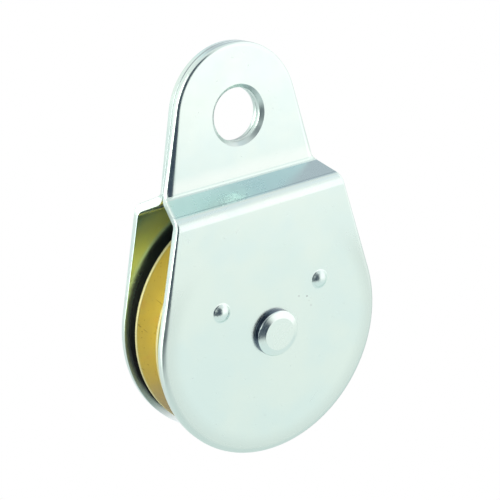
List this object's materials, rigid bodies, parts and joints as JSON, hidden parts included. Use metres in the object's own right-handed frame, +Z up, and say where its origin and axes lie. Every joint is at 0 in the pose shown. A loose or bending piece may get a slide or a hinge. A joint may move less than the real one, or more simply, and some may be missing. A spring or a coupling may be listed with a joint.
{
  "type": "rope pulley block",
  "caption": "Stamped steel rope pulley block: a grooved sheave turns between bent cheek plates that meet in a fixed hanging eye.",
  "frame": {"origin": "centre of the eye hole, halfway between the cheek plates, where the block hangs", "axes": "+Z up through the top of the eye, +Y along the axle towards the rear cheek, +X to the right seen from the front"},
  "size_m": [0.0796, 0.031, 0.1276],
  "materials": {
    "zinc_plate": "bright zinc plate, semi-gloss",
    "yellow_zinc": "yellow zinc plate, satin",
    "bronze": "sintered bronze, matt",
    "bare_steel": "turned steel, oiled"
  },
  "bodies": {
    "block": {"front_cheek_plate": "zinc_plate", "rear_cheek_plate": "zinc_plate", "axle_rivet": "zinc_plate", "spacer_tube": "bare_steel", "front_thrust_washer": "bare_steel", "rear_thrust_washer": "bare_steel"},
    "sheave": {"hub_bushing": "bronze", "front_sheave_half": "yellow_zinc", "rear_sheave_half": "yellow_zinc", "sheave_rivet_1": "yellow_zinc", "sheave_rivet_2": "yellow_zinc", "sheave_rivet_3": "yellow_zinc", "sheave_rivet_4": "yellow_zinc", "sheave_rivet_5": "yellow_zinc", "sheave_rivet_6": "yellow_zinc"}
  },
  "joints": [
    {"name": "sheave_spin", "type": "hinge", "parent": "block", "child": "sheave", "pos_m": [0, 0, -0.06638], "axis": [0, 1, 0], "continuous": true}
  ]
}
